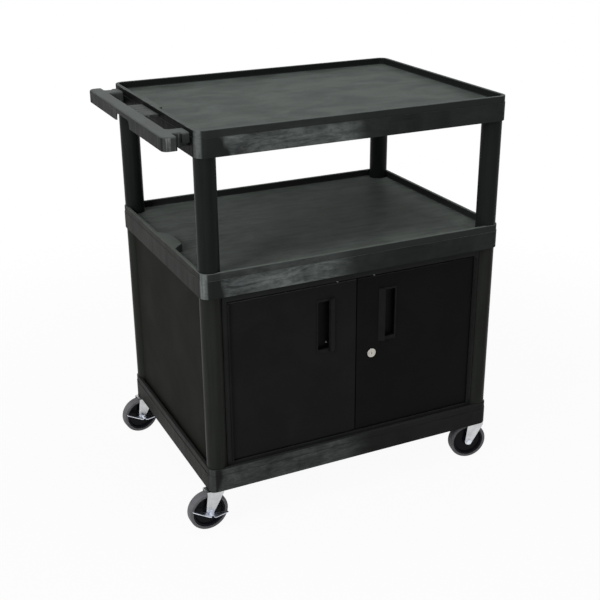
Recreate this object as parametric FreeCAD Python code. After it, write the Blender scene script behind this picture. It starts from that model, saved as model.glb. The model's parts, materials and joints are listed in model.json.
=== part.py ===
import FreeCAD, Part
import math
import os
from FreeCAD import Vector

# Three-shelf service cart with a two-door cabinet below and swivel casters.
# Millimetres, +Z up, doors face -Y, push handle at the -X end.

# Shelf mouldings
shelf_length = 813.0
shelf_depth = 610.0
corner_radius = 25.0
skirt_wall = 5.0
lip_step = 1.0
lip_wall = 9.0
lip_band = 17.0
rim_round = 1.6
tray_depth = 18.0
cove_radius = 4.0
deck_thickness = 5.0
rib_thickness = 3.0
rib_pitch = 100.0
bite = 1.5

# Storey heights
skirt_height = 61.0
cabinet_height = 451.0
bay_height = 268.0

# Widened pads on the left rim, each with slanting ends
top_pad_centre = 35.0
top_pad_length = 139.0
top_pad_width = 18.0
middle_pad_centre = -35.0
middle_pad_length = 82.0
middle_pad_width = 36.0

# Legs and their sockets
leg_radius = 25.4
leg_wall = 3.0
leg_inset = 28.2
socket_play = 0.1
boss_wall = 2.0
top_socket = 30.0
middle_lower_socket = 21.0
socket_web = 5.0
stem_block = 14.0

# Push handle
handle_reach = 69.5
handle_drop = 8.5
handle_height = 31.5
handle_margin = 13.0
handle_wall = 4.0
handle_roof = 5.0
grip_width = 34.5
end_length = 34.0
neck_width = 40.0
neck_solid = 14.0
web_half = 62.0
web_drop = 2.0
web_thickness = 5.0
end_round = 15.0
end_round_inner = 6.0
finger_round = 8.0
neck_round = 5.0
handle_round = 5.0
notch_half = 53.0
notch_height = 19.0
notch_round = 14.0
root_length = 16.5
root_width = 9.0
root_height = 23.0

# Screws that hold the handle
handle_screw_radius = 2.5
handle_screw_head = 4.0
handle_screw_cap = 3.0
handle_screw_bite = 11.0
handle_screw_rise = 8.0
handle_screw_places = (10.0, 30.0)
thread_play = 0.05

# Cabinet sheet
sheet = 1.2
panel_lip_gap = 0.3
panel_return = 6.0
panel_leg_gap = 1.0
tab_half = 12.0
tab_depth = 20.0
tab_share = 0.6
tab_screw_place = 13.0
tab_screw_radius = 1.9
tab_screw_head = 3.6
tab_screw_cap = 2.2
tab_screw_bite = 4.0
hole_play = 0.3

# Door frame
face_setback = 15.0
frame_sheet = 1.5
frame_depth = 20.0
frame_leg_gap = 0.5
stile_width = 9.7
sill_rise = 6.0
head_rail = 19.5

# Doors
door_depth = 18.0
door_gap = 4.0
hinge_gap = 2.5
meeting_gap = 2.5
door_round = 2.0
door_hem = 12.0

# Piano hinges
leaf_thickness = 1.0
leaf_width = 12.0
knuckle_radius = 2.4
knuckle_pitch = 30.0
knuckle_gap = 0.4
hinge_stand = 2.6
pin_radius = 1.2
pin_play = 0.05

# Door pulls, measured from the meeting line
pull_inner = 61.0
pull_outer = 112.0
pull_drop = 35.0
pull_height = 143.0
pull_proud = 2.0
pull_lip = 16.0
pull_lip_proud = 9.0
pull_lip_flat = 4.0
pull_lip_round = 1.5
pull_border_round = 1.2
slot_margin = 4.0
slot_foot = 10.0
slot_head = 6.0
cup_depth = 12.0
cup_wall = 2.0
cup_undercut = 7.0
cup_play = 0.3
pull_screw_rise = 13.5
pull_screw_gap = 0.5
pull_screw_radius = 1.9
pull_screw_head = 3.0
pull_screw_cap = 2.0
pull_nut_flats = 7.0
pull_nut_height = 2.5
clamp_half = 6.0
clamp_thickness = 2.0
clamp_overhang = 2.0

# Sprung catches on the door edges
catch_place = 51.0
catch_radius = 3.0
catch_dome = 2.6
catch_body = 12.0
catch_collar = 4.5
catch_collar_height = 2.0
catch_setback = 9.0

# Cam lock on the right door
lock_place = 43.0
lock_drop = 206.5
lock_flange_radius = 12.0
lock_flange = 3.0
lock_flange_round = 1.2
lock_barrel_radius = 9.0
lock_barrel = 16.0
lock_nut_flats = 24.0
lock_nut_height = 4.0
plug_radius = 6.5
plug_play = 0.08
keyway_width = 1.6
keyway_height = 7.0
keyway_depth = 6.0
cam_gap = 0.5
cam_thickness = 2.0
cam_half_width = 7.0
cam_reach = 55.0
cam_stud_radius = 3.5
cam_nut_flats = 11.0
cam_nut_height = 2.5

# Casters
wheel_radius = 50.8
wheel_headroom = 3.0
tread_width = 25.4
tread_round = 4.5
core_radius = 42.5
core_rim = 11.0
core_rim_inner = 38.0
core_web = 5.0
core_web_outer = 35.0
core_web_inner = 14.0
hub_radius = 12.0
hub_half = 14.0
hub_side_gap = 0.4
axle_radius = 4.0
axle_play = 0.08
axle_flats = 13.0
axle_head = 4.0
axle_nut = 5.0
fork_sheet = 2.5
fork_bend = 4.0
fork_lead = 18.0
fork_rear = 26.0
fork_shoulder = 8.0
fork_boss = 10.0
crown_radius = 23.0
race_height = 2.0
race_inner = 9.0
race_outer = 19.0
swivel_cup = 2.5
cup_radius = 22.0
stem_radius = 5.5
stem_head_radius = 9.0
stem_head = 2.2
stem_nut_flats = 17.0
stem_nut_height = 7.0
swivel_play = 0.08
swivel_inset_x = 20.0
swivel_inset_y = 30.0
caster_trail = 21.5
caster_yaw = {"fl": 1.0, "fr": -12.0, "bl": 5.0, "br": 5.0}

# Brake levers on the two casters at the handle end
lever_sheet = 2.0
lever_hub = 3.0
lever_hub_radius = 8.5
lever_drop = 1.0
lever_half = 48.0
lever_flat = 10.0
lever_lift = 4.0
lever_side_gap = 0.3
lever_nut_gap = 1.0
lever_reach = 37.8
lever_end_reach = 22.0
lever_tilt = 15.0
braked = ("fl", "bl")

# Levels and positions that follow from the sizes
half_length = shelf_length / 2
half_depth = shelf_depth / 2
caster_height = 2 * wheel_radius + wheel_headroom + fork_sheet + race_height + swivel_cup
bottom_base = caster_height
bottom_rim = bottom_base + skirt_height
cabinet_floor = bottom_rim - tray_depth
middle_base = bottom_rim + cabinet_height
middle_rim = middle_base + skirt_height
top_base = middle_rim + bay_height
top_rim = top_base + skirt_height
leg_x = half_length - leg_inset
leg_y = half_depth - leg_inset
panel_setback = lip_step + lip_wall + cove_radius + panel_lip_gap
corners = {"fl": (-1, -1), "fr": (1, -1), "bl": (-1, 1), "br": (1, 1)}
face_y = -(half_depth - face_setback)
frame_half = leg_x - leg_radius - frame_leg_gap
opening_half = frame_half - stile_width
opening_base = bottom_rim + sill_rise
opening_top = middle_base - head_rail
door_edge = opening_half - hinge_gap
door_base = opening_base + door_gap
door_top = opening_top - door_gap
door_back = face_y + door_depth
hinge_x = opening_half - hinge_gap / 2
hinge_y = face_y - hinge_stand
handle_top = top_rim - handle_drop
handle_base = handle_top - handle_height
grip_gap = handle_reach - grip_width
handle_half = half_depth - handle_margin
neck_outer = handle_half - end_length
neck_inner = neck_outer - neck_width
swivel_x = half_length - swivel_inset_x
swivel_y = half_depth - swivel_inset_y
crown_top = bottom_base - swivel_cup - race_height
crown_base = crown_top - fork_sheet
arm_inner = hub_half + hub_side_gap
arm_outer = arm_inner + fork_sheet
pull_top = door_top - pull_drop
pull_base = pull_top - pull_height
lock_height = door_top - lock_drop
slot_inner = pull_inner + pull_lip
slot_outer = pull_outer - slot_margin
slot_base = pull_base + slot_foot
slot_top = pull_top - slot_head
pull_screw_x = slot_inner + pull_screw_head + pull_screw_gap
pull_screw_z = slot_base + pull_screw_rise


# Plain building blocks
def block(x0, x1, y0, y1, z0, z1):
    corner = Vector(min(x0, x1), min(y0, y1), min(z0, z1))
    return Part.makeBox(abs(x1 - x0), abs(y1 - y0), abs(z1 - z0), corner)


def post(radius, x, y, z0, z1):
    return Part.makeCylinder(radius, z1 - z0, Vector(x, y, z0))


def rod_along_y(radius, x, z, y0, y1):
    return Part.makeCylinder(radius, y1 - y0, Vector(x, y0, z), Vector(0, 1, 0))


def hexagon(flats, length):
    circle = flats / math.sqrt(3)
    points = []
    for k in range(7):
        angle = math.radians(60 * k)
        points.append(Vector(circle * math.cos(angle), circle * math.sin(angle), 0))
    return Part.Face(Part.makePolygon(points)).extrude(Vector(0, 0, length))


def hexagon_along_y(flats, x, z, y0, y1):
    solid = hexagon(flats, y1 - y0)
    solid.rotate(Vector(0, 0, 0), Vector(1, 0, 0), -90)
    solid.translate(Vector(x, y0, z))
    return solid


def upright_edges(solid):
    return [edge for edge in solid.Edges if edge.BoundBox.XLength < 0.01 and edge.BoundBox.YLength < 0.01]


def level_edges(solid, z):
    level = [edge for edge in solid.Edges if edge.BoundBox.ZLength < 0.01]
    return [edge for edge in level if abs(edge.BoundBox.ZMin - z) < 0.01]


def front_edges(solid, y):
    flat = [edge for edge in solid.Edges if edge.BoundBox.YLength < 0.01]
    return [edge for edge in flat if abs(edge.BoundBox.YMin - y) < 0.01]


def lengthwise_edges(solid, z):
    return [edge for edge in level_edges(solid, z) if edge.BoundBox.YLength < 0.01]


def edges_at(solid, x, y):
    places = [(edge, edge.Vertexes[0]) for edge in upright_edges(solid)]
    return [edge for edge, place in places if abs(place.X - x) < 0.01 and abs(abs(place.Y) - y) < 0.01]


def plan_prism(inset, z0, z1):
    half_x = half_length - inset
    half_y = half_depth - inset
    solid = block(-half_x, half_x, -half_y, half_y, z0, z1)
    return solid.makeFillet(corner_radius - inset, upright_edges(solid))


def mirrored(shape):
    return shape.mirror(Vector(0, 0, 0), Vector(1, 0, 0))


# Shelves
def rib_lines(half_span):
    cells = math.ceil(2 * half_span / rib_pitch)
    return [half_span * (2 * k / cells - 1) for k in range(1, cells)]


def ribs(top):
    inside_x = half_length - skirt_wall
    inside_y = half_depth - skirt_wall
    half = rib_thickness / 2
    pieces = []
    for x in rib_lines(inside_x):
        pieces.append(block(x - half, x + half, -inside_y - bite, inside_y + bite, 0, top + bite))
    for y in rib_lines(inside_y):
        pieces.append(block(-inside_x - bite, inside_x + bite, y - half, y + half, 0, top + bite))
    return pieces


def pad_prism(centre, length, width):
    outline = [(0, length / 2 + width), (width, length / 2), (width, -length / 2), (0, -length / 2 - width)]
    points = [Vector(-half_length + x, centre + y, 0) for x, y in outline]
    points.append(points[0])
    return Part.Face(Part.makePolygon(points)).extrude(Vector(0, 0, skirt_height))


def shelf(pads, upper_socket, lower_socket):
    height = skirt_height
    floor = height - tray_depth
    under = floor - deck_thickness
    band = height - lip_band
    skirt = plan_prism(0, 0, band)
    lip = plan_prism(lip_step, band, height)
    pocket = plan_prism(lip_step + lip_wall, floor, height)
    pocket = pocket.makeFillet(cove_radius, level_edges(pocket, floor))
    for centre, length, width in pads:
        pocket = pocket.cut(pad_prism(centre, length, width))
    body = skirt.fuse(lip).cut(pocket)
    body = body.makeFillet(rim_round, level_edges(body, height))
    body = body.cut(plan_prism(skirt_wall, 0, under))
    bosses = []
    sockets = []
    for sx, sy in corners.values():
        x = sx * leg_x
        y = sy * leg_y
        bosses.append(post(leg_radius + boss_wall, x, y, 0, floor))
        if lower_socket > 0:
            sockets.append(post(leg_radius + socket_play, x, y, 0, lower_socket))
        if upper_socket < height:
            sockets.append(post(leg_radius + socket_play, x, y, upper_socket, height))
    body = body.fuse(ribs(under) + bosses)
    return body.cut(sockets).removeSplitter()


def leg_tube(corner, z0, z1):
    sx, sy = corners[corner]
    outside = post(leg_radius, sx * leg_x, sy * leg_y, z0, z1)
    return outside.cut(post(leg_radius - leg_wall, sx * leg_x, sy * leg_y, z0, z1))


# Push handle, placed by its distance out from the skirt
def outward(distance):
    return -half_length - distance


def grip_prism(inset, z0, z1):
    outer = outward(handle_reach - inset)
    end = handle_half - inset
    solid = block(outward(grip_gap + inset), outer, -end, end, z0, z1)
    return solid.makeFillet(end_round - inset, edges_at(solid, outer, end))


def push_handle_shape():
    body = grip_prism(0, handle_base, handle_top)
    body = body.makeFillet(end_round_inner, edges_at(body, outward(grip_gap), handle_half))
    for side in (-1, 1):
        neck = block(outward(0), outward(grip_gap), side * neck_inner, side * neck_outer,
                     handle_base, handle_top)
        root = block(outward(0), outward(root_length), side * neck_outer, side * (neck_outer + root_width),
                     handle_top - root_height, handle_top)
        body = body.fuse([neck, root])
    body = body.removeSplitter()
    body = body.makeFillet(finger_round, edges_at(body, outward(grip_gap), neck_inner))
    body = body.makeFillet(neck_round, edges_at(body, outward(grip_gap), neck_outer))
    brow = [edge for edge in level_edges(body, handle_top) if edge.BoundBox.XMin < outward(0) - 0.01]
    body = body.makeFillet(handle_round, brow)
    roof = handle_top - handle_roof
    body = body.cut(grip_prism(handle_wall, handle_base, roof))
    for side in (-1, 1):
        inner = side * (neck_inner + handle_wall)
        outer = side * (neck_outer - handle_wall)
        under_grip = outward(grip_gap + handle_wall)
        body = body.cut(block(outward(neck_solid), under_grip, inner, outer, handle_base, roof))
    web_top = handle_top - web_drop
    web_end = outward(grip_gap + handle_wall)
    body = body.fuse(block(outward(0), web_end, -web_half, web_half, web_top - web_thickness, web_top))
    notch_top = handle_base + notch_height
    notch = block(outward(handle_reach - handle_wall), outward(handle_reach),
                  -notch_half, notch_half, handle_base, notch_top)
    notch = notch.makeFillet(notch_round, lengthwise_edges(notch, notch_top))
    return body.cut([notch] + handle_screw_set(thread_play)).removeSplitter()


def handle_screw_set(play):
    pieces = []
    z = handle_base + handle_screw_rise
    seat = outward(-skirt_wall)
    for side in (-1, 1):
        for place in handle_screw_places:
            reach = skirt_wall + handle_screw_bite
            start = Vector(seat, side * (neck_inner + place), z)
            shank = Part.makeCylinder(handle_screw_radius + play, reach, start, Vector(-1, 0, 0))
            cap = Part.makeCylinder(handle_screw_head + play, handle_screw_cap, start, Vector(1, 0, 0))
            pieces.append(shank.fuse(cap).removeSplitter())
    return pieces


# Cabinet panels, drawn facing -Y and then turned to their side of the cart
def beside_leg(gap, distance):
    return math.sqrt((leg_radius + gap) ** 2 - distance ** 2)


panel_clear = beside_leg(panel_leg_gap, leg_inset - panel_setback - panel_return)
side_half = leg_y - panel_clear
back_half = leg_x - panel_clear
panel_places = {
    "left_panel": (side_half, -90, Vector(-(half_length - panel_setback), 0, 0)),
    "right_panel": (side_half, 90, Vector(half_length - panel_setback, 0, 0)),
    "back_panel": (back_half, 180, Vector(0, half_depth - panel_setback, 0)),
}


def turned(shape, angle, place):
    shape.rotate(Vector(0, 0, 0), Vector(0, 0, 1), angle)
    shape.translate(place)
    return shape


def tab_places(half_width):
    return (-tab_share * half_width, tab_share * half_width)


def wall_panel(half_width):
    solid = block(-half_width, half_width, 0, panel_return, cabinet_floor, middle_base)
    inside = block(-half_width + sheet, half_width - sheet, sheet, panel_return,
                   cabinet_floor + sheet, middle_base - sheet)
    solid = solid.cut(inside)
    for x in tab_places(half_width):
        tab = block(x - tab_half, x + tab_half, 0, tab_depth, cabinet_floor, cabinet_floor + sheet)
        hole = post(tab_screw_radius + hole_play, x, tab_screw_place, cabinet_floor, cabinet_floor + sheet)
        solid = solid.fuse(tab).cut(hole)
    return solid.removeSplitter()


def tab_screws(half_width, play):
    pieces = []
    seat = cabinet_floor + sheet
    for x in tab_places(half_width):
        shank = post(tab_screw_radius + play, x, tab_screw_place, cabinet_floor - tab_screw_bite, seat)
        cap = post(tab_screw_head, x, tab_screw_place, seat, seat + tab_screw_cap)
        pieces.append(shank.fuse(cap).removeSplitter())
    return pieces


# Door frame: a channel bent round the opening, open at the back, with a front flange beside each leg
def door_frame_shape():
    wall = frame_sheet
    back = face_y + frame_depth
    ring = block(-frame_half, frame_half, face_y, back, cabinet_floor, middle_base)
    flange_half = leg_x - beside_leg(frame_leg_gap, leg_inset - face_setback - wall)
    ring = ring.fuse(block(-flange_half, flange_half, face_y, face_y + wall, cabinet_floor, middle_base))
    ring = ring.cut(block(-opening_half, opening_half, face_y, back, opening_base, opening_top))
    trough = block(-frame_half + wall, frame_half - wall, face_y + wall, back,
                   cabinet_floor + wall, middle_base - wall)
    trough = trough.cut(block(-opening_half - wall, opening_half + wall, face_y + wall, back,
                              opening_base - wall, opening_top + wall))
    ring = ring.cut(trough)
    y = face_y + catch_setback
    for x in (-catch_place, catch_place):
        ring = ring.cut(post(catch_radius, x, y, opening_top, opening_top + wall))
    ring = ring.cut(post(catch_radius, -catch_place, y, opening_base - wall, opening_base))
    return ring.removeSplitter()


# Doors and their fittings, drawn for the right door and mirrored for the left
def cup_cutout(play):
    return block(slot_inner - cup_undercut - cup_wall - play, slot_outer + cup_wall + play,
                 face_y, face_y + cup_depth,
                 slot_base - cup_wall - play, slot_top + cup_wall + play)


def door_shape():
    inner = meeting_gap / 2
    solid = block(inner, door_edge, face_y, door_back, door_base, door_top)
    solid = solid.makeFillet(door_round, front_edges(solid, face_y))
    solid = solid.cut(block(inner + sheet, door_edge - sheet, face_y + sheet, door_back - sheet,
                            door_base + sheet, door_top - sheet))
    solid = solid.cut(block(inner + door_hem, door_edge - door_hem, face_y + sheet, door_back,
                            door_base + door_hem, door_top - door_hem))
    solid = solid.cut(cup_cutout(cup_play))
    hole = catch_radius + thread_play
    return solid.cut(post(hole, catch_place, face_y + catch_setback, door_top - sheet, door_top))


def pull_lip_shape():
    start = pull_inner + pull_border_round
    front = face_y - pull_lip_proud
    outline = [(start, face_y), (start, face_y - pull_proud), (slot_inner - pull_lip_flat, front),
               (slot_inner, front), (slot_inner, face_y), (start, face_y)]
    base = pull_base + pull_border_round
    points = [Vector(x, y, base) for x, y in outline]
    height = pull_height - 2 * pull_border_round
    lip = Part.Face(Part.makePolygon(points)).extrude(Vector(0, 0, height))
    crest = [edge for edge in upright_edges(lip) if edge.BoundBox.YMin < front + 0.01]
    return lip.makeFillet(pull_lip_round, crest)


def pull_shape():
    border = block(pull_inner, pull_outer, face_y - pull_proud, face_y, pull_base, pull_top)
    border = border.makeFillet(pull_border_round, front_edges(border, face_y - pull_proud))
    solid = border.fuse([pull_lip_shape(), cup_cutout(0)])
    cup_floor = face_y + cup_depth - cup_wall
    solid = solid.cut(block(slot_inner, slot_outer, face_y - pull_lip_proud, cup_floor, slot_base, slot_top))
    solid = solid.cut(block(slot_inner - cup_undercut, slot_inner, face_y + sheet, cup_floor,
                            slot_base, slot_top))
    cup_back = face_y + cup_depth
    hole = rod_along_y(pull_screw_radius + hole_play, pull_screw_x, pull_screw_z, cup_floor, cup_back)
    return solid.cut(hole).removeSplitter()


def pull_fastener_set():
    x = pull_screw_x
    z = pull_screw_z
    cup_floor = face_y + cup_depth - cup_wall
    cup_back = face_y + cup_depth
    clamp_back = cup_back + clamp_thickness
    nut_back = clamp_back + pull_nut_height
    screw = rod_along_y(pull_screw_radius, x, z, cup_floor, nut_back)
    screw = screw.fuse(rod_along_y(pull_screw_head, x, z, cup_floor - pull_screw_cap, cup_floor))
    clamp_inner = slot_inner - cup_undercut - cup_wall - cup_play - clamp_overhang
    clamp_outer = slot_outer + cup_wall + cup_play + clamp_overhang
    clamp = block(clamp_inner - clamp_thickness, clamp_outer + clamp_thickness, face_y + sheet, clamp_back,
                  z - clamp_half, z + clamp_half)
    clamp = clamp.cut(block(clamp_inner, clamp_outer, face_y + sheet, cup_back,
                            z - clamp_half, z + clamp_half))
    clamp = clamp.cut(rod_along_y(pull_screw_radius + hole_play, x, z, cup_back, clamp_back))
    nut = hexagon_along_y(pull_nut_flats, x, z, clamp_back, nut_back)
    nut = nut.cut(rod_along_y(pull_screw_radius + thread_play, x, z, clamp_back, nut_back))
    return [screw.removeSplitter(), clamp, nut]


def catch_shape(edge_level, upside_down):
    y = face_y + catch_setback
    ball = (catch_radius ** 2 + catch_dome ** 2) / (2 * catch_dome)
    dome = Part.makeSphere(ball, Vector(catch_place, y, catch_dome - ball))
    dome = dome.common(post(catch_radius, catch_place, y, 0, catch_dome))
    barrel = post(catch_radius, catch_place, y, -catch_body, 0)
    collar = post(catch_collar, catch_place, y, -sheet - catch_collar_height, -sheet)
    solid = barrel.fuse([dome, collar]).removeSplitter()
    if upside_down:
        solid = solid.mirror(Vector(0, 0, 0), Vector(0, 0, 1))
    solid.translate(Vector(0, 0, edge_level))
    return solid


# Piano hinge for the right door: each leaf owns every other knuckle
def hinge_leaf(x0, x1, first):
    count = 2 * round((door_top - door_base) / (2 * knuckle_pitch))
    step = (door_top - door_base) / count
    leaf = block(x0, x1, face_y, face_y + leaf_width, door_base, door_top)
    pieces = []
    for k in range(first, count, 2):
        z0 = door_base + k * step + knuckle_gap / 2
        z1 = door_base + (k + 1) * step - knuckle_gap / 2
        pieces.append(post(knuckle_radius, hinge_x, hinge_y, z0, z1))
        pieces.append(block(x0, x1, hinge_y, face_y, z0, z1))
    leaf = leaf.fuse(pieces)
    bore = post(pin_radius + pin_play, hinge_x, hinge_y, door_base, door_top)
    return leaf.cut(bore).removeSplitter()


# Cam lock in the right door
def lock_rod(radius, y0, y1):
    return rod_along_y(radius, lock_place, lock_height, y0, y1)


def lock_housing_shape():
    flange = lock_rod(lock_flange_radius, face_y - lock_flange, face_y)
    flange = flange.makeFillet(lock_flange_round, front_edges(flange, face_y - lock_flange))
    barrel = lock_rod(lock_barrel_radius, face_y, face_y + lock_barrel)
    bore = lock_rod(plug_radius + plug_play, face_y - lock_flange, face_y + lock_barrel)
    return flange.fuse(barrel).cut(bore).removeSplitter()


def lock_nut_shape():
    seat = face_y + sheet
    nut = hexagon_along_y(lock_nut_flats, lock_place, lock_height, seat, seat + lock_nut_height)
    return nut.cut(lock_rod(lock_barrel_radius + thread_play, seat, seat + lock_nut_height))


def lock_plug_shape():
    front = face_y - lock_flange
    cam_front = door_back + cam_gap
    stud_end = cam_front + cam_thickness + cam_nut_height
    plug = lock_rod(plug_radius, front, cam_front)
    plug = plug.fuse(lock_rod(cam_stud_radius, cam_front, stud_end))
    keyway = block(lock_place - keyway_width / 2, lock_place + keyway_width / 2, front, front + keyway_depth,
                   lock_height - keyway_height / 2, lock_height + keyway_height / 2)
    return plug.cut(keyway).removeSplitter()


def lock_cam_shape():
    front = door_back + cam_gap
    back = front + cam_thickness
    tip = lock_height - cam_reach + cam_half_width
    arm = block(lock_place - cam_half_width, lock_place + cam_half_width, front, back, tip, lock_height)
    ends = [lock_rod(cam_half_width, front, back), rod_along_y(cam_half_width, lock_place, tip, front, back)]
    arm = arm.fuse(ends)
    return arm.cut(lock_rod(cam_stud_radius + thread_play, front, back)).removeSplitter()


def cam_nut_shape():
    seat = door_back + cam_gap + cam_thickness
    nut = hexagon_along_y(cam_nut_flats, lock_place, lock_height, seat, seat + cam_nut_height)
    return nut.cut(lock_rod(cam_stud_radius + thread_play, seat, seat + cam_nut_height))


# Casters, drawn with the swivel axis at the origin and the wheel trailing towards -X
def placed_caster(shape, corner):
    sx, sy = corners[corner]
    shape.rotate(Vector(0, 0, 0), Vector(0, 0, 1), caster_yaw[corner])
    shape.translate(Vector(sx * swivel_x, sy * swivel_y, 0))
    return shape


def wheel_rod(radius, y0, y1):
    return rod_along_y(radius, -caster_trail, wheel_radius, y0, y1)


def tangent_point(x, z, side):
    dx = x + caster_trail
    dz = z - wheel_radius
    swing = math.acos(fork_boss / math.hypot(dx, dz))
    angle = math.atan2(dz, dx) - side * swing
    return (-caster_trail + fork_boss * math.cos(angle), wheel_radius + fork_boss * math.sin(angle))


def fork_shape():
    channel = block(-fork_rear - caster_trail, fork_lead, -arm_outer, arm_outer, 0, crown_top)
    channel = channel.makeFillet(fork_bend, lengthwise_edges(channel, crown_top))
    channel = channel.cut(block(-fork_rear - caster_trail, fork_lead, -arm_inner, arm_inner, 0, crown_base))
    shoulder = crown_top - fork_shoulder
    lead = tangent_point(fork_lead, shoulder, 1)
    rear = tangent_point(-fork_rear, shoulder, -1)
    outline = [(-fork_rear, crown_top), (fork_lead, crown_top), (fork_lead, shoulder), lead,
               (-caster_trail, wheel_radius), rear, (-fork_rear, shoulder), (-fork_rear, crown_top)]
    points = [Vector(x, -arm_outer, z) for x, z in outline]
    profile = Part.Face(Part.makePolygon(points)).extrude(Vector(0, 2 * arm_outer, 0))
    profile = profile.fuse(wheel_rod(fork_boss, -arm_outer, arm_outer))
    fork = channel.common(profile).fuse(post(crown_radius, 0, 0, crown_base, crown_top))
    fork = fork.cut(post(stem_radius + swivel_play, 0, 0, crown_base, crown_top))
    return fork.cut(wheel_rod(axle_radius + thread_play, -arm_outer, arm_outer)).removeSplitter()


def axle_set(corner):
    seat = arm_outer
    if corner in braked:
        seat = seat + lever_hub
    end = seat + axle_nut
    bolt = wheel_rod(axle_radius, -end, arm_outer)
    head = hexagon_along_y(axle_flats, -caster_trail, wheel_radius, arm_outer, arm_outer + axle_head)
    nut = hexagon_along_y(axle_flats, -caster_trail, wheel_radius, -end, -seat)
    nut = nut.cut(wheel_rod(axle_radius + thread_play, -end, -seat))
    return [bolt.fuse(head).removeSplitter(), nut]


def tyre_shape():
    half = tread_width / 2
    tyre = wheel_rod(wheel_radius, -half, half)
    tyre = tyre.makeFillet(tread_round, [edge for edge in tyre.Edges if edge.BoundBox.YLength < 0.01])
    return tyre.cut(wheel_rod(core_radius, -half, half))


def wheel_core_shape():
    bore = axle_radius + axle_play
    half = [(bore, hub_half), (hub_radius, hub_half), (core_web_inner, core_web), (core_web_outer, core_web),
            (core_rim_inner, core_rim), (core_radius, core_rim)]
    section = half + [(radius, -y) for radius, y in reversed(half)]
    section.append(section[0])
    points = [Vector(-caster_trail + radius, y, wheel_radius) for radius, y in section]
    face = Part.Face(Part.makePolygon(points))
    return face.revolve(Vector(-caster_trail, 0, wheel_radius), Vector(0, 1, 0), 360)


def brake_lever_shape():
    inner = -arm_outer
    outer = inner - lever_hub
    edge = inner - lever_side_gap
    low = wheel_radius - lever_drop - lever_sheet / 2
    line = [(-lever_half, lever_lift), (-lever_flat, 0), (lever_flat, 0), (lever_half, lever_lift)]
    section = line + [(x, z + lever_sheet) for x, z in reversed(line)]
    section.append(section[0])
    points = [Vector(-caster_trail + x, -lever_reach, low + z) for x, z in section]
    blade = Part.Face(Part.makePolygon(points)).extrude(Vector(0, lever_reach + edge, 0))
    plan = [(-lever_half, edge), (-lever_half, -lever_end_reach), (-lever_flat, -lever_reach),
            (lever_flat, -lever_reach), (lever_half, -lever_end_reach), (lever_half, edge)]
    plan.append(plan[0])
    points = [Vector(-caster_trail + x, y, 0) for x, y in plan]
    blade = blade.common(Part.Face(Part.makePolygon(points)).extrude(Vector(0, 0, 2 * wheel_radius)))
    lever = blade.fuse(wheel_rod(lever_hub_radius, outer, inner))
    bore = wheel_rod(axle_radius + axle_play, -lever_reach, inner)
    nut_room = wheel_rod(axle_flats / math.sqrt(3) + lever_nut_gap, outer - axle_nut - lever_nut_gap, outer)
    lever = lever.cut([bore, nut_room]).removeSplitter()
    lever.rotate(Vector(-caster_trail, 0, wheel_radius), Vector(0, 1, 0), lever_tilt)
    return lever


def caster_stem_shape():
    top = bottom_base + stem_block + stem_nut_height
    stem = post(stem_radius, 0, 0, crown_base, top)
    return stem.fuse(post(stem_head_radius, 0, 0, crown_base - stem_head, crown_base)).removeSplitter()


def stem_nut_shape():
    seat = bottom_base + stem_block
    nut = hexagon(stem_nut_flats, stem_nut_height)
    nut.translate(Vector(0, 0, seat))
    return nut.cut(post(stem_radius + thread_play, 0, 0, seat, seat + stem_nut_height))


def caster_cup_shape():
    cup = post(cup_radius, 0, 0, bottom_base - swivel_cup, bottom_base)
    return cup.cut(post(stem_radius + swivel_play, 0, 0, bottom_base - swivel_cup, bottom_base))


def swivel_bearing_shape():
    ring = post(race_outer, 0, 0, crown_top, crown_top + race_height)
    return ring.cut(post(race_inner, 0, 0, crown_top, crown_top + race_height))


# Assemble every node
nodes = {}

top_pads = [(top_pad_centre, top_pad_length, top_pad_width)]
top_shelf = shelf(top_pads, skirt_height, top_socket)
top_shelf.translate(Vector(0, 0, top_base))
nodes["top_shelf"] = [top_shelf.cut(handle_screw_set(thread_play))]
nodes["push_handle"] = [push_handle_shape()]
nodes["handle_screws"] = handle_screw_set(0)

middle_pads = [(middle_pad_centre, middle_pad_length, middle_pad_width)]
middle_upper_socket = middle_lower_socket + socket_web
middle_shelf = shelf(middle_pads, middle_upper_socket, middle_lower_socket)
middle_shelf.translate(Vector(0, 0, middle_base))
nodes["middle_shelf"] = [middle_shelf]

bottom_shelf = shelf([], stem_block, 0)
bottom_shelf.translate(Vector(0, 0, bottom_base))
stem_holes = []
for sx, sy in corners.values():
    top_of_hole = bottom_base + stem_block
    stem_holes.append(post(stem_radius + thread_play, sx * swivel_x, sy * swivel_y, bottom_base, top_of_hole))
bottom_shelf = bottom_shelf.cut(stem_holes)

cabinet_screws = []
for name, (half_width, angle, place) in panel_places.items():
    nodes[name] = [turned(wall_panel(half_width), angle, place)]
    for screw in tab_screws(half_width, 0):
        cabinet_screws.append(turned(screw, angle, place))
    for screw in tab_screws(half_width, thread_play):
        bottom_shelf = bottom_shelf.cut(turned(screw, angle, place))
nodes["bottom_shelf"] = [bottom_shelf]
nodes["cabinet_screws"] = cabinet_screws
nodes["door_frame"] = [door_frame_shape()]

upper_leg_ends = (middle_base + middle_upper_socket, top_base + top_socket)
lower_leg_ends = (bottom_base + stem_block, middle_base + middle_lower_socket)
for corner in corners:
    nodes["upper_leg_" + corner] = [leg_tube(corner, *upper_leg_ends)]
    nodes["lower_leg_" + corner] = [leg_tube(corner, *lower_leg_ends)]

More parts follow.
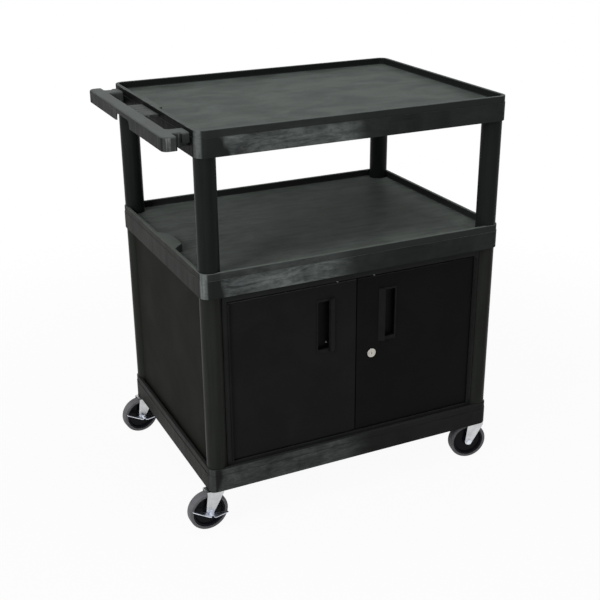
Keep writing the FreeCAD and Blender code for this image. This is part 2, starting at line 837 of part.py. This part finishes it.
right_frame_leaf = hinge_leaf(opening_half - leaf_thickness, opening_half, 0)
right_door_leaf = hinge_leaf(door_edge, door_edge + leaf_thickness, 1)
right_pin = post(pin_radius, hinge_x, hinge_y, door_base, door_top)
nodes["right_hinge_frame_leaf"] = [right_frame_leaf]
nodes["left_hinge_frame_leaf"] = [mirrored(right_frame_leaf)]
nodes["right_hinge_pin"] = [right_pin]
nodes["left_hinge_pin"] = [mirrored(right_pin)]
nodes["right_hinge_door_leaf"] = [right_door_leaf]
nodes["left_hinge_door_leaf"] = [mirrored(right_door_leaf)]

door = door_shape()
lock_hole = lock_rod(lock_barrel_radius + socket_play, face_y, face_y + sheet)
catch_hole = post(catch_radius + thread_play, catch_place, face_y + catch_setback,
                  door_base, door_base + sheet)
nodes["right_door"] = [door.cut(lock_hole)]
nodes["left_door"] = [mirrored(door.cut(catch_hole))]
nodes["right_pull"] = [pull_shape()]
nodes["left_pull"] = [mirrored(pull_shape())]
nodes["right_pull_fasteners"] = pull_fastener_set()
nodes["left_pull_fasteners"] = [mirrored(piece) for piece in pull_fastener_set()]
upper_catch = catch_shape(door_top, False)
lower_catch = catch_shape(door_base, True)
nodes["right_door_catch"] = [upper_catch]
nodes["left_door_catches"] = [mirrored(upper_catch), mirrored(lower_catch)]
nodes["lock_housing"] = [lock_housing_shape()]
nodes["lock_nut"] = [lock_nut_shape()]
nodes["lock_plug"] = [lock_plug_shape()]
nodes["lock_cam"] = [lock_cam_shape()]
nodes["cam_nut"] = [cam_nut_shape()]

nodes["caster_cups"] = [placed_caster(caster_cup_shape(), corner) for corner in corners]
nodes["swivel_bearings"] = [placed_caster(swivel_bearing_shape(), corner) for corner in corners]
nodes["caster_stems"] = [placed_caster(caster_stem_shape(), corner) for corner in corners]
nodes["stem_nuts"] = [placed_caster(stem_nut_shape(), corner) for corner in corners]
for corner in corners:
    nodes["fork_" + corner] = [placed_caster(fork_shape(), corner)]
    nodes["axle_" + corner] = [placed_caster(piece, corner) for piece in axle_set(corner)]
    nodes["tyre_" + corner] = [placed_caster(tyre_shape(), corner)]
    nodes["wheel_core_" + corner] = [placed_caster(wheel_core_shape(), corner)]
for corner in braked:
    nodes["brake_lever_" + corner] = [placed_caster(brake_lever_shape(), corner)]

# Put the origin under the middle of the whole cart, on the ground
everything = Part.makeCompound([solid for solids in nodes.values() for solid in solids])
bounds = everything.optimalBoundingBox()
origin = Vector((bounds.XMin + bounds.XMax) / 2, (bounds.YMin + bounds.YMax) / 2, 0)
os.makedirs("parts", exist_ok=True)
for name, solids in nodes.items():
    shape = solids[0] if len(solids) == 1 else Part.makeCompound(solids)
    shape.translate(origin.negative())
    shape.exportStep("parts/" + name + ".step")
print("origin", origin, "size", bounds.XLength, bounds.YLength, bounds.ZLength)
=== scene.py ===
import json
import math

import bpy
from mathutils import Matrix, Vector


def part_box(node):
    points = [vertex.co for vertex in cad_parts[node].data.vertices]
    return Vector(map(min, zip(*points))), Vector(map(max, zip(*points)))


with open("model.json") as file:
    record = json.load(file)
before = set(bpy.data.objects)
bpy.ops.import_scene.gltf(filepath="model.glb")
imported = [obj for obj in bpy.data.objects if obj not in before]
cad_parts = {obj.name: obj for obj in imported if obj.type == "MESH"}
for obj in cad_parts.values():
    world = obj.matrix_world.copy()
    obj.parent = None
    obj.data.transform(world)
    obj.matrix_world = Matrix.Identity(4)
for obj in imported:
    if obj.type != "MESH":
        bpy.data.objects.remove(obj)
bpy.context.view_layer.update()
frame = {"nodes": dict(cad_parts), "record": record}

nodes = frame["nodes"]
scene = bpy.context.scene
scene.view_settings.view_transform = "Standard"

# Places on the cart in metres, the colour of the chalk, and how white the floor is
shelf_low, shelf_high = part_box("bottom_shelf")
shelf_middle = (shelf_low + shelf_high) / 2
face_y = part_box("left_door")[0].y
band_depth = 0.017
web_start = shelf_low.x - 0.035
web_half = 0.0615
chalk_colour = (0.232, 0.258, 0.252)
floor_grey = 0.82
near_white_share = 0.95

# Stretch of a noise that is the same in all directions
even = (1.0, 1.0, 1.0)


# Small helpers for building node trees
def add(tree, kind, settings=None, inputs=None):
    made = tree.nodes.new(kind)
    for key, value in (settings or {}).items():
        setattr(made, key, value)
    for key, value in (inputs or {}).items():
        if isinstance(value, bpy.types.NodeSocket):
            tree.links.new(value, made.inputs[key])
        else:
            made.inputs[key].default_value = value
    return made


def start_material(name, metallic=0.0, specular=0.5):
    material = bpy.data.materials.new(name)
    material.use_nodes = True
    tree = material.node_tree
    shader = tree.nodes["Principled BSDF"]
    shader.inputs["Metallic"].default_value = metallic
    shader.inputs["Specular IOR Level"].default_value = specular
    place = add(tree, "ShaderNodeTexCoord").outputs["Object"]
    return material, tree, shader, place


def noise(tree, place, stretch, scale, detail, rough, distort=0.0,
          shift=(0.0, 0.0, 0.0), turn=(0.0, 0.0, 0.0)):
    mapped = add(tree, "ShaderNodeMapping", None,
                 {"Vector": place, "Scale": stretch, "Location": shift, "Rotation": turn})
    made = add(tree, "ShaderNodeTexNoise", None,
               {"Vector": mapped.outputs[0], "Scale": scale, "Detail": detail, "Roughness": rough,
                "Distortion": distort})
    return made.outputs["Fac"]


def ramp(tree, value, low, high, out_low=0.0, out_high=1.0):
    made = add(tree, "ShaderNodeMapRange", {"interpolation_type": "SMOOTHSTEP"},
               {"Value": value, "From Min": low, "From Max": high, "To Min": out_low, "To Max": out_high})
    return made.outputs["Result"]


def maths(tree, operation, first, second):
    made = add(tree, "ShaderNodeMath", {"operation": operation}, {0: first, 1: second})
    return made.outputs[0]


def absolute(tree, value):
    return maths(tree, "ABSOLUTE", value, 0.0)


def blend(tree, factor, first, second):
    made = add(tree, "ShaderNodeMix", {"data_type": "RGBA"}, {"Factor": factor})
    for socket, colour in ((made.inputs[6], first), (made.inputs[7], second)):
        if isinstance(colour, bpy.types.NodeSocket):
            tree.links.new(colour, socket)
        else:
            socket.default_value = (*colour, 1.0)
    return made.outputs[2]


def bump(tree, height, strength, distance, under=None):
    inputs = {"Height": height, "Strength": strength, "Distance": distance}
    if under is not None:
        inputs["Normal"] = under
    return add(tree, "ShaderNodeBump", None, inputs).outputs["Normal"]


def connect(tree, shader, colour, rough, relief):
    for name, value in (("Base Color", colour), ("Roughness", rough), ("Normal", relief)):
        tree.links.new(value, shader.inputs[name])


def scaled(colour, share):
    return tuple(share * part for part in colour)


def parts_of(tree, vector):
    return add(tree, "ShaderNodeSeparateXYZ", None, {"Vector": vector}).outputs


def facing(tree):
    return parts_of(tree, add(tree, "ShaderNodeNewGeometry").outputs["Normal"])


# Moulded shelf plastic: streaked tray, chalky wash on the front skirt, pale worn corners and rim edges
def shelf_material(node, tones, chalk_span, chalk_amount, corner_amount, rim_chalk, pad):
    material, tree, shader, place = start_material(node + "_plastic", specular=0.03)
    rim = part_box(node)[1].z
    axes = parts_of(tree, place)
    normal = facing(tree)
    level = ramp(tree, normal["Z"], 0.6, 0.9)
    along = maths(tree, "SUBTRACT", axes["X"], shelf_low.x)
    across = maths(tree, "SUBTRACT", axes["Y"], shelf_middle.y)
    below = maths(tree, "SUBTRACT", rim, axes["Z"])

    # Outward is 1 on the skirts' outer faces and 0 on the tray's inner walls, which get painted shade
    out_x = maths(tree, "MULTIPLY", normal["X"], maths(tree, "SUBTRACT", axes["X"], shelf_middle.x))
    out_y = maths(tree, "MULTIPLY", normal["Y"], across)
    outward = ramp(tree, maths(tree, "ADD", out_x, out_y), 0.0, 0.05)
    front = ramp(tree, normal["Y"], -0.75, -0.95)
    left = ramp(tree, normal["X"], -0.75, -0.95)

    # Tray floor: long soft streaks over broad blotches
    streaks = noise(tree, place, (3.0, 24.0, 1.0), scale=2.6, detail=6.0, rough=0.66, distort=0.5)
    clouds = noise(tree, place, (1.0, 1.5, 1.0),
                   scale=9.0, detail=5.0, rough=0.62, distort=0.5, shift=(1.3, 0.2, 0.0))
    wear = maths(tree, "ADD", ramp(tree, streaks, 0.36, 0.64, 0.0, 0.42),
                 ramp(tree, clouds, 0.30, 0.70, 0.0, 0.58))
    floor = blend(tree, wear, scaled(tones["floor"], 0.58), scaled(tones["floor"], 1.34))
    floor = blend(tree, ramp(tree, below, 0.001, 0.004, 1.0, 0.0), floor, scaled(tones["floor"], 1.05))

    # Chalky wash: broad patches and slanted strokes with a grainy edge, on the left part of the front
    strokes = noise(tree, place, (2.6, 2.6, 11.0),
                    scale=3.4, detail=6.0, rough=0.66, distort=1.1, turn=(0.0, 0.22, 0.0))
    fine = noise(tree, place, (1.0, 1.0, 2.6), scale=62.0, detail=6.0, rough=0.72, distort=0.4)
    patches = noise(tree, place, (1.0, 1.0, 0.5),
                    scale=8.5, detail=3.0, rough=0.55, distort=0.3, shift=(0.35, 0.1, 0.0))
    waver = maths(tree, "MULTIPLY", maths(tree, "SUBTRACT", patches, 0.5), 0.16)
    reach = maths(tree, "ADD", along, maths(tree, "ADD", waver, maths(tree, "MULTIPLY", below, -0.2)))
    begin, stop = chalk_span
    span = maths(tree, "MULTIPLY", ramp(tree, reach, begin - 0.006, begin + 0.006),
                 ramp(tree, reach, stop - 0.04, stop + 0.04, 1.0, 0.05))
    wash = maths(tree, "ADD", ramp(tree, strokes, 0.36, 0.62, 0.10, 0.65),
                 ramp(tree, patches, 0.40, 0.62, 0.05, 0.55))
    wash = maths(tree, "MULTIPLY", wash, ramp(tree, fine, 0.28, 0.66, 0.55, 1.05))
    under_band = ramp(tree, below, band_depth - 0.0015, band_depth + 0.0015, rim_chalk, 1.0)
    wash = maths(tree, "MULTIPLY", maths(tree, "MULTIPLY", wash, span),
                 maths(tree, "MULTIPLY", under_band, front))

    # Worn streak round the front corners, strongest at the handle end
    turned = maths(tree, "ARCTAN2", maths(tree, "MULTIPLY", normal["Y"], -1.0),
                   absolute(tree, normal["X"]))
    streak = maths(tree, "MULTIPLY", ramp(tree, turned, 0.15, 0.40),
                   ramp(tree, turned, 0.95, 1.20, 1.0, 0.0))
    upright = noise(tree, place, (1.0, 1.0, 0.06),
                    scale=110.0, detail=4.0, rough=0.6, shift=(0.0, 0.0, 0.3))
    streak = maths(tree, "MULTIPLY", streak, ramp(tree, upright, 0.36, 0.60, 0.58, 1.0))
    streak = maths(tree, "MULTIPLY", streak, ramp(tree, fine, 0.25, 0.6, 0.6, 1.0))
    streak = maths(tree, "MULTIPLY", streak, ramp(tree, along, 0.2, 0.3, corner_amount, 0.12))
    chalk = maths(tree, "MAXIMUM", maths(tree, "MULTIPLY", wash, chalk_amount), streak)
    chalk = maths(tree, "MULTIPLY", chalk, outward)

    # Skirt colours: a band under the front rim, blotches on the left end, which on the top shelf is painted
    # shade behind the handle, and painted shade on the tray's inner walls except next to the rim pads
    blotch = ramp(tree, patches, 0.36, 0.64)
    skirt = blend(tree, blotch, scaled(tones["skirt"], 0.86), scaled(tones["skirt"], 1.14))
    # On the top shelf the end tone is painted shade: its left skirt is painted near black where the handle
    # shades it
    end_skirt_and_shade = blend(tree, blotch, scaled(tones["end"], 0.82), scaled(tones["end"], 1.18))
    skirt = blend(tree, left, skirt, end_skirt_and_shade)
    in_band = ramp(tree, below, band_depth - 0.001, band_depth + 0.001, 1.0, 0.0)
    band = maths(tree, "MULTIPLY", in_band, front)
    skirt = blend(tree, band, skirt, tones["band"])
    pad_width, pad_middle, pad_half = pad
    near_pad = maths(tree, "MULTIPLY", ramp(tree, along, pad_width, pad_width + 0.004, 1.0, 0.0),
                     ramp(tree, absolute(tree, maths(tree, "SUBTRACT", across, pad_middle)),
                          pad_half, pad_half + 0.004, 1.0, 0.0))
    # Painted shade: the tray's inner walls are painted dark, except next to the rim pads
    inside = blend(tree, near_pad, tones["inside"], scaled(tones["floor"], 0.8))
    skirt = blend(tree, outward, inside, skirt)
    wall = blend(tree, chalk, skirt, chalk_colour)
    colour = blend(tree, level, wall, floor)
    # Painted highlight mixed with wear: the rounded rim edges are painted pale in patches, strongest on the
    # left faces
    rim_edge = maths(tree, "MULTIPLY", ramp(tree, normal["Z"], 0.15, 0.4),
                     ramp(tree, normal["Z"], 0.86, 0.97, 1.0, 0.0))
    rim_sheen_and_wear_mask = maths(tree, "MULTIPLY", outward, ramp(tree, clouds, 0.40, 0.60, 0.35, 1.0))
    rim_sheen_and_wear_mask = maths(tree, "MULTIPLY", rim_sheen_and_wear_mask, ramp(tree, left, 0.0, 1.0, 0.24, 1.0))
    colour = blend(tree, maths(tree, "MULTIPLY", rim_edge, rim_sheen_and_wear_mask), colour, tones["edge"])

    grain = noise(tree, place, even, scale=900.0, detail=3.0, rough=0.6)
    swirl = noise(tree, place, (2.0, 8.0, 4.0), scale=16.0, detail=5.0, rough=0.6, distort=1.0)
    relief = bump(tree, grain, strength=0.30, distance=0.0004)
    relief = bump(tree, swirl, strength=0.06, distance=0.002, under=relief)
    rough = ramp(tree, maths(tree, "ADD", streaks, chalk), 0.3, 1.0, 0.46, 0.68)
    connect(tree, shader, colour, rough, relief)
    return material


# Handle plastic: like the shelves, but dustier on top, with upright pale streaks at its ends that are part
# scuffs and part painted highlight, painted shade on the faces towards the shelf, and a ridged web
def handle_material(tones):
    material, tree, shader, place = start_material("handle_plastic", specular=0.05)
    normal = facing(tree)
    axes = parts_of(tree, place)
    across = absolute(tree, maths(tree, "SUBTRACT", axes["Y"], shelf_middle.y))
    clouds = noise(tree, place, (4.0, 1.4, 4.0), scale=7.0, detail=6.0, rough=0.62, distort=0.6)
    upright = noise(tree, place, (1.0, 1.0, 0.07), scale=90.0, detail=5.0, rough=0.65, distort=0.2)
    fine = noise(tree, place, (1.0, 1.0, 1.6), scale=70.0, detail=6.0, rough=0.7, distort=0.4)
    end_face = ramp(tree, absolute(tree, normal["Y"]), 0.4, 0.7)
    # Painted highlight mixed with scuffs: upright pale streaks on the ends
    scuff_and_sheen = maths(tree, "MULTIPLY", ramp(tree, upright, 0.50, 0.66),
                  ramp(tree, fine, 0.3, 0.65, 0.35, 1.0))
    scuff_and_sheen = maths(tree, "MULTIPLY", scuff_and_sheen, ramp(tree, end_face, 0.0, 1.0, 0.12, 1.0))
    side = blend(tree, ramp(tree, clouds, 0.3, 0.7), *tones["side"])
    side = blend(tree, end_face, side, tones["end"])
    side = blend(tree, scuff_and_sheen, side, tones["scuff_and_sheen"])
    top = blend(tree, ramp(tree, clouds, 0.3, 0.7), *tones["top"])
    colour = blend(tree, ramp(tree, normal["Z"], 0.25, 0.75), side, top)
    # Painted shade: faces towards the shelf, in the finger gaps, are painted near black
    inner = maths(tree, "MULTIPLY", ramp(tree, normal["X"], 0.3, 0.7), 0.85)
    colour = blend(tree, inner, colour, tones["inner"])

    # Web between the finger gaps, with fine ridges along the cart
    web = maths(tree, "MULTIPLY", ramp(tree, across, web_half - 0.001, web_half + 0.001, 1.0, 0.0),
                ramp(tree, axes["X"], web_start - 0.001, web_start + 0.001))
    ridges = noise(tree, place, (4.0, 55.0, 1.0), scale=4.0, detail=3.0, rough=0.5)
    web_tone = blend(tree, ramp(tree, ridges, 0.36, 0.62), *tones["web"])
    colour = blend(tree, web, colour, web_tone)
    grain = noise(tree, place, even, scale=800.0, detail=3.0, rough=0.6)
    relief = bump(tree, grain, strength=0.35, distance=0.0004)
    web_ridges = maths(tree, "MULTIPLY", ridges, web)
    relief = bump(tree, web_ridges, strength=0.5, distance=0.0008, under=relief)
    rough = ramp(tree, clouds, 0.3, 0.7, 0.46, 0.60)
    connect(tree, shader, colour, rough, relief)
    return material


# Powder-coated sheet and small black mouldings; upward faces get a painted highlight, their light tone
# raised by the given factor
def coated_material(name, dark, light, rough, specular, peel, top_highlight=1.0):
    material, tree, shader, place = start_material(name, specular=specular)
    clouds = noise(tree, place, even, scale=9.0, detail=5.0, rough=0.6, distort=0.4)
    marks = noise(tree, place, (3.0, 3.0, 0.8), scale=60.0, detail=4.0, rough=0.7, distort=0.5)
    tone = maths(tree, "ADD", ramp(tree, clouds, 0.3, 0.7, 0.0, 0.75),
                 ramp(tree, marks, 0.62, 0.80, 0.0, 0.25))
    colour = blend(tree, tone, dark, light)
    # Painted highlight: upward faces are painted paler
    upper_edge = ramp(tree, facing(tree)["Z"], 0.3, 0.8)
    colour = blend(tree, upper_edge, colour, scaled(light, top_highlight))
    peel_scale, peel_strength = peel
    skin = noise(tree, place, even, scale=peel_scale, detail=2.0, rough=0.5)
    roughness = ramp(tree, clouds, 0.3, 0.7, *rough)
    connect(tree, shader, colour, roughness, bump(tree, skin, strength=peel_strength, distance=0.0003))
    return material


# Plated metal with fine drawn lines
def metal_material(name, dark, light, rough, line_stretch):
    material, tree, shader, place = start_material(name, metallic=1.0)
    lines = noise(tree, place, line_stretch, scale=90.0, detail=4.0, rough=0.6)
    stain = noise(tree, place, even, scale=55.0, detail=4.0, rough=0.6, distort=0.5)
    colour = blend(tree, ramp(tree, stain, 0.3, 0.7), dark, light)
    roughness = ramp(tree, lines, 0.25, 0.75, *rough)
    connect(tree, shader, colour, roughness, bump(tree, lines, strength=0.12, distance=0.0002))
    return material


# Grey rubber tread with dust in its pores
def rubber_material():
    material, tree, shader, place = start_material("tyre_rubber", specular=0.3)
    dust = noise(tree, place, even, scale=38.0, detail=6.0, rough=0.65, distort=0.6)
    pores = noise(tree, place, even, scale=950.0, detail=3.0, rough=0.6)
    colour = blend(tree, ramp(tree, dust, 0.3, 0.72), (0.140, 0.136, 0.148), (0.215, 0.209, 0.226))
    rough = ramp(tree, dust, 0.3, 0.7, 0.58, 0.74)
    connect(tree, shader, colour, rough, bump(tree, pores, strength=0.35, distance=0.0003))
    return material


# Recessed pull: black, with painted shade making it darker towards the bottom of its cup
def pull_material():
    material, tree, shader, place = start_material("pull_plastic", specular=0.06)
    axes = parts_of(tree, place)
    clouds = noise(tree, place, even, scale=24.0, detail=5.0, rough=0.6, distort=0.4)
    skin = noise(tree, place, even, scale=760.0, detail=2.0, rough=0.5)
    colour = blend(tree, ramp(tree, clouds, 0.3, 0.7), (0.0095, 0.0097, 0.0095), (0.0140, 0.0142, 0.0140))
    # Painted shade: the cup behind the door face is painted near black
    recess_shade = ramp(tree, axes["Y"], face_y - 0.001, face_y + 0.003)
    colour = blend(tree, recess_shade, colour, (0.0025, 0.0025, 0.0025))
    rough = ramp(tree, clouds, 0.3, 0.7, 0.40, 0.54)
    connect(tree, shader, colour, rough, bump(tree, skin, strength=0.14, distance=0.0003))
    return material


# Satin leg tubes with faint drawn lines down their length
def leg_material(name, dark, light):
    material, tree, shader, place = start_material(name, specular=0.04)
    lines = noise(tree, place, (1.0, 1.0, 0.03), scale=85.0, detail=4.0, rough=0.6)
    clouds = noise(tree, place, (1.0, 1.0, 0.4), scale=9.0, detail=4.0, rough=0.6, distort=0.3)
    tone = maths(tree, "ADD", ramp(tree, lines, 0.34, 0.66, 0.0, 0.6),
                 ramp(tree, clouds, 0.34, 0.66, 0.0, 0.4))
    skin = noise(tree, place, even, scale=520.0, detail=2.0, rough=0.5)
    rough = ramp(tree, clouds, 0.3, 0.7, 0.32, 0.42)
    colour = blend(tree, tone, dark, light)
    connect(tree, shader, colour, rough, bump(tree, skin, strength=0.10, distance=0.0003))
    return material


# Tones of the shelves and of the handle; a pair is the dark and the light end of a blend. In the shelves,
# the tone of the tray's inner walls is painted shade, and the tone of the rim edges is a painted highlight
# mixed with wear.
# The top shelf's end tone is painted shade: its left skirt is painted near black behind the handle
top_tones = {
    "floor": (0.0650, 0.0760, 0.0700), "skirt": (0.0255, 0.0288, 0.0282), "band": (0.0330, 0.0376, 0.0360),
    "end": (0.0035, 0.0039, 0.0037), "inside": (0.0145, 0.0160, 0.0153), "edge": (0.240, 0.268, 0.256),
}
# Painted light: the middle tray floor is painted lighter than the top one, to make up for the shade under
# the top shelf
middle_tones_with_painted_light = {
    "floor": (0.1430, 0.1640, 0.1495), "skirt": (0.0280, 0.0314, 0.0307), "band": (0.0400, 0.0442, 0.0427),
    "end": (0.0300, 0.0310, 0.0285), "inside": (0.0310, 0.0338, 0.0318), "edge": (0.240, 0.266, 0.252),
}
bottom_tones = {
    "floor": (0.0280, 0.0300, 0.0282), "skirt": (0.0200, 0.0212, 0.0198), "band": (0.0210, 0.0222, 0.0208),
    "end": (0.0290, 0.0298, 0.0272), "inside": (0.0140, 0.0148, 0.0140), "edge": (0.060, 0.064, 0.060),
}
handle_tones = {
    "side": ((0.0108, 0.0116, 0.0111), (0.0205, 0.0219, 0.0210)),
    "top": ((0.060, 0.067, 0.0635), (0.096, 0.107, 0.1015)),
    "web": ((0.023, 0.0257, 0.0239), (0.085, 0.0947, 0.0885)),
    "end": (0.062, 0.0664, 0.0648), "scuff_and_sheen": (0.300, 0.318, 0.312), "inner": (0.008, 0.0085, 0.0085),
}

# A look for each shelf; a pad on its rim is given by its width, its middle and its half length
shelf_looks = {
    "top_shelf": shelf_material("top_shelf", top_tones, chalk_span=(0.058, 0.39), chalk_amount=0.96,
                                corner_amount=0.66, rim_chalk=0.08, pad=(0.022, 0.035, 0.090)),
    "middle_shelf": shelf_material("middle_shelf", middle_tones_with_painted_light, chalk_span=(0.030, 0.36), chalk_amount=0.95,
                                   corner_amount=1.0, rim_chalk=0.35, pad=(0.040, -0.035, 0.080)),
    "bottom_shelf": shelf_material("bottom_shelf", bottom_tones, chalk_span=(0.020, 0.40), chalk_amount=0.40,
                                   corner_amount=0.30, rim_chalk=0.90, pad=(0.0, 0.0, 0.0)),
}

# Looks by material slot, then those of the legs, doors and small plated pieces
sheet_coat = {"rough": (0.50, 0.60), "specular": 0.03, "peel": (620.0, 0.16)}
slot_looks = {
    "handle_plastic": handle_material(handle_tones),
    "panel_paint": coated_material("panel_paint", (0.0108, 0.0110, 0.0088), (0.0150, 0.0153, 0.0124),
                                   rough=(0.55, 0.66), specular=0.02, peel=(620.0, 0.16)),
    "frame_paint": coated_material("frame_paint", (0.0262, 0.0281, 0.0268), (0.0368, 0.0395, 0.0376),
                                   **sheet_coat),
    "hinge_paint": coated_material("hinge_paint", (0.0090, 0.0091, 0.0088), (0.0150, 0.0151, 0.0146),
                                   rough=(0.44, 0.54), specular=0.06, peel=(620.0, 0.12)),
    "pull_plastic": pull_material(),
    "cup_paint": coated_material("cup_paint", (0.0070, 0.0071, 0.0070), (0.0120, 0.0121, 0.0120),
                                 rough=(0.36, 0.48), specular=0.15, peel=(500.0, 0.12)),
    "core_plastic": coated_material("core_plastic", (0.0060, 0.0064, 0.0090), (0.0095, 0.0100, 0.0135),
                                    rough=(0.20, 0.30), specular=0.08, peel=(400.0, 0.05)),
    "nickel": metal_material("nickel", (0.38, 0.365, 0.33), (0.56, 0.545, 0.50),
                             rough=(0.22, 0.34), line_stretch=(3.0, 3.0, 3.0)),
    "zinc": metal_material("zinc", (0.50, 0.51, 0.52), (0.64, 0.65, 0.655),
                           rough=(0.30, 0.46), line_stretch=(1.0, 1.0, 9.0)),
    "fastener_steel": metal_material("fastener_steel", (0.20, 0.20, 0.196), (0.32, 0.32, 0.31),
                                     rough=(0.28, 0.40), line_stretch=(4.0, 4.0, 4.0)),
    "tyre_rubber": rubber_material(),
}
# Painted shade and light: the upper legs are painted darker, shaded under the top shelf, and the lower legs
# lighter
lit_and_shaded_legs = {
    "upper": leg_material("upper_leg_shaded_plastic", (0.0125, 0.0144, 0.0136), (0.0200, 0.0232, 0.0219)),
    "lower": leg_material("lower_leg_lit_plastic", (0.0194, 0.0212, 0.0181), (0.0307, 0.0335, 0.0287)),
}
# Painted shade: the right door is painted darker than the left, where less light falls; both doors' upward
# faces take a painted highlight
lit_and_shaded_doors = {
    "left_door": coated_material("left_door_lit_paint", (0.0148, 0.0150, 0.0148), (0.0204, 0.0207, 0.0204),
                                 top_highlight=4.0, **sheet_coat),
    "right_door": coated_material("right_door_shaded_paint", (0.0085, 0.0086, 0.0085), (0.0120, 0.0122, 0.0120),
                                  top_highlight=4.0, **sheet_coat),
}
bright_zinc = metal_material("bright_zinc", (0.58, 0.61, 0.68), (0.76, 0.79, 0.86),
                             rough=(0.24, 0.38), line_stretch=(1.0, 1.0, 9.0))
small_plated = [name for name in nodes if name.startswith(("axle_", "brake_lever_"))]
own_looks = {**shelf_looks, **lit_and_shaded_doors, **dict.fromkeys(small_plated, bright_zinc)}


def dress(piece, material):
    piece.data.materials.clear()
    piece.data.materials.append(material)


for entry in frame["record"]["subparts"]:
    name = entry["node"]
    storey = name.split("_leg_")[0]
    look = own_looks.get(name) or lit_and_shaded_legs.get(storey) or slot_looks[entry["material_slot"]]
    dress(nodes[name], look)


# 1 for rays that end in the picture, straight or by way of gloss or glass
def picture_rays(tree):
    ray = add(tree, "ShaderNodeLightPath").outputs
    straight_or_gloss = maths(tree, "MAXIMUM", ray["Is Camera Ray"], ray["Is Glossy Ray"])
    return maths(tree, "MAXIMUM", straight_or_gloss, ray["Is Transmission Ray"])


# Floor: almost white to the camera, with a faint shadow under the cart
def floor_piece():
    half = 40.0
    mesh = bpy.data.meshes.new("floor")
    corners = [(-half, -half, 0), (half, -half, 0), (half, half, 0), (-half, half, 0)]
    mesh.from_pydata(corners, [], [(0, 1, 2, 3)])
    piece = bpy.data.objects.new("floor", mesh)
    scene.collection.objects.link(piece)
    material = bpy.data.materials.new("floor_white")
    material.use_nodes = True
    tree = material.node_tree
    tree.nodes.clear()
    out = add(tree, "ShaderNodeOutputMaterial")
    plain = add(tree, "ShaderNodeBsdfDiffuse", None, {"Color": (floor_grey, floor_grey, floor_grey, 1.0)})
    white = add(tree, "ShaderNodeEmission", None, {"Color": (1.0, 1.0, 1.0, 1.0), "Strength": 1.0})
    ground = add(tree, "ShaderNodeTexCoord").outputs["Object"]
    away = add(tree, "ShaderNodeVectorMath", {"operation": "LENGTH"}, {0: ground}).outputs["Value"]
    whiteness = ramp(tree, away, 0.9, 2.2, near_white_share, 1.0)
    share = maths(tree, "MULTIPLY", picture_rays(tree), whiteness)
    mixed = add(tree, "ShaderNodeMixShader", None, {0: share, 1: plain.outputs[0], 2: white.outputs[0]})
    tree.links.new(mixed.outputs[0], out.inputs["Surface"])
    mesh.materials.append(material)


# Background: white to the camera, and a dimmer light on the cart
def white_world(light):
    world = bpy.data.worlds.new("studio")
    scene.world = world
    world.use_nodes = True
    tree = world.node_tree
    background = tree.nodes["Background"]
    background.inputs["Color"].default_value = (1.0, 1.0, 1.0, 1.0)
    strength = add(tree, "ShaderNodeMapRange", None,
                   {"Value": picture_rays(tree), "To Min": light, "To Max": 1.0})
    tree.links.new(strength.outputs["Result"], background.inputs["Strength"])


def area_lamp(name, place, target, size, power):
    lamp = bpy.data.lights.new(name, "AREA")
    lamp.shape = "RECTANGLE"
    lamp.size = size[0]
    lamp.size_y = size[1]
    lamp.energy = power
    piece = bpy.data.objects.new(name, lamp)
    piece.location = place
    piece.rotation_mode = "QUATERNION"
    piece.rotation_quaternion = (Vector(target) - Vector(place)).to_track_quat("-Z", "Y")
    scene.collection.objects.link(piece)


floor_piece()
white_world(light=0.14)
area_lamp("overhead", place=(0.0, -0.2, 3.2), target=(0.0, 0.0, 0.7), size=(2.6, 2.2), power=46.0)
area_lamp("left_key", place=(-3.0, -1.6, 2.1), target=(0.0, 0.0, 0.6), size=(1.2, 1.8), power=46.0)

# Camera at the photograph's angle, with its small roll
image_size = 600
focal_pixels = 1052.8
roll = math.radians(-0.398)
under_shelves = Vector((shelf_middle.x, shelf_middle.y, 0.0))
eye = under_shelves + Vector((-1.1572, -2.3819, 1.5452))
target = under_shelves + Vector((-0.0166, 0.0, 0.4403))
ahead = (target - eye).normalized()
level_right = ahead.cross(Vector((0.0, 0.0, 1.0))).normalized()
level_up = level_right.cross(ahead)
right = level_right * math.cos(roll) + level_up * math.sin(roll)
up = level_up * math.cos(roll) - level_right * math.sin(roll)
camera_data = bpy.data.cameras.new("camera")
camera_data.sensor_width = 36.0
camera_data.lens = camera_data.sensor_width * focal_pixels / image_size
camera = bpy.data.objects.new("camera", camera_data)
turn = Matrix((right, up, -ahead)).transposed()
camera.matrix_world = Matrix.Translation(eye) @ turn.to_4x4()
scene.collection.objects.link(camera)
scene.camera = camera
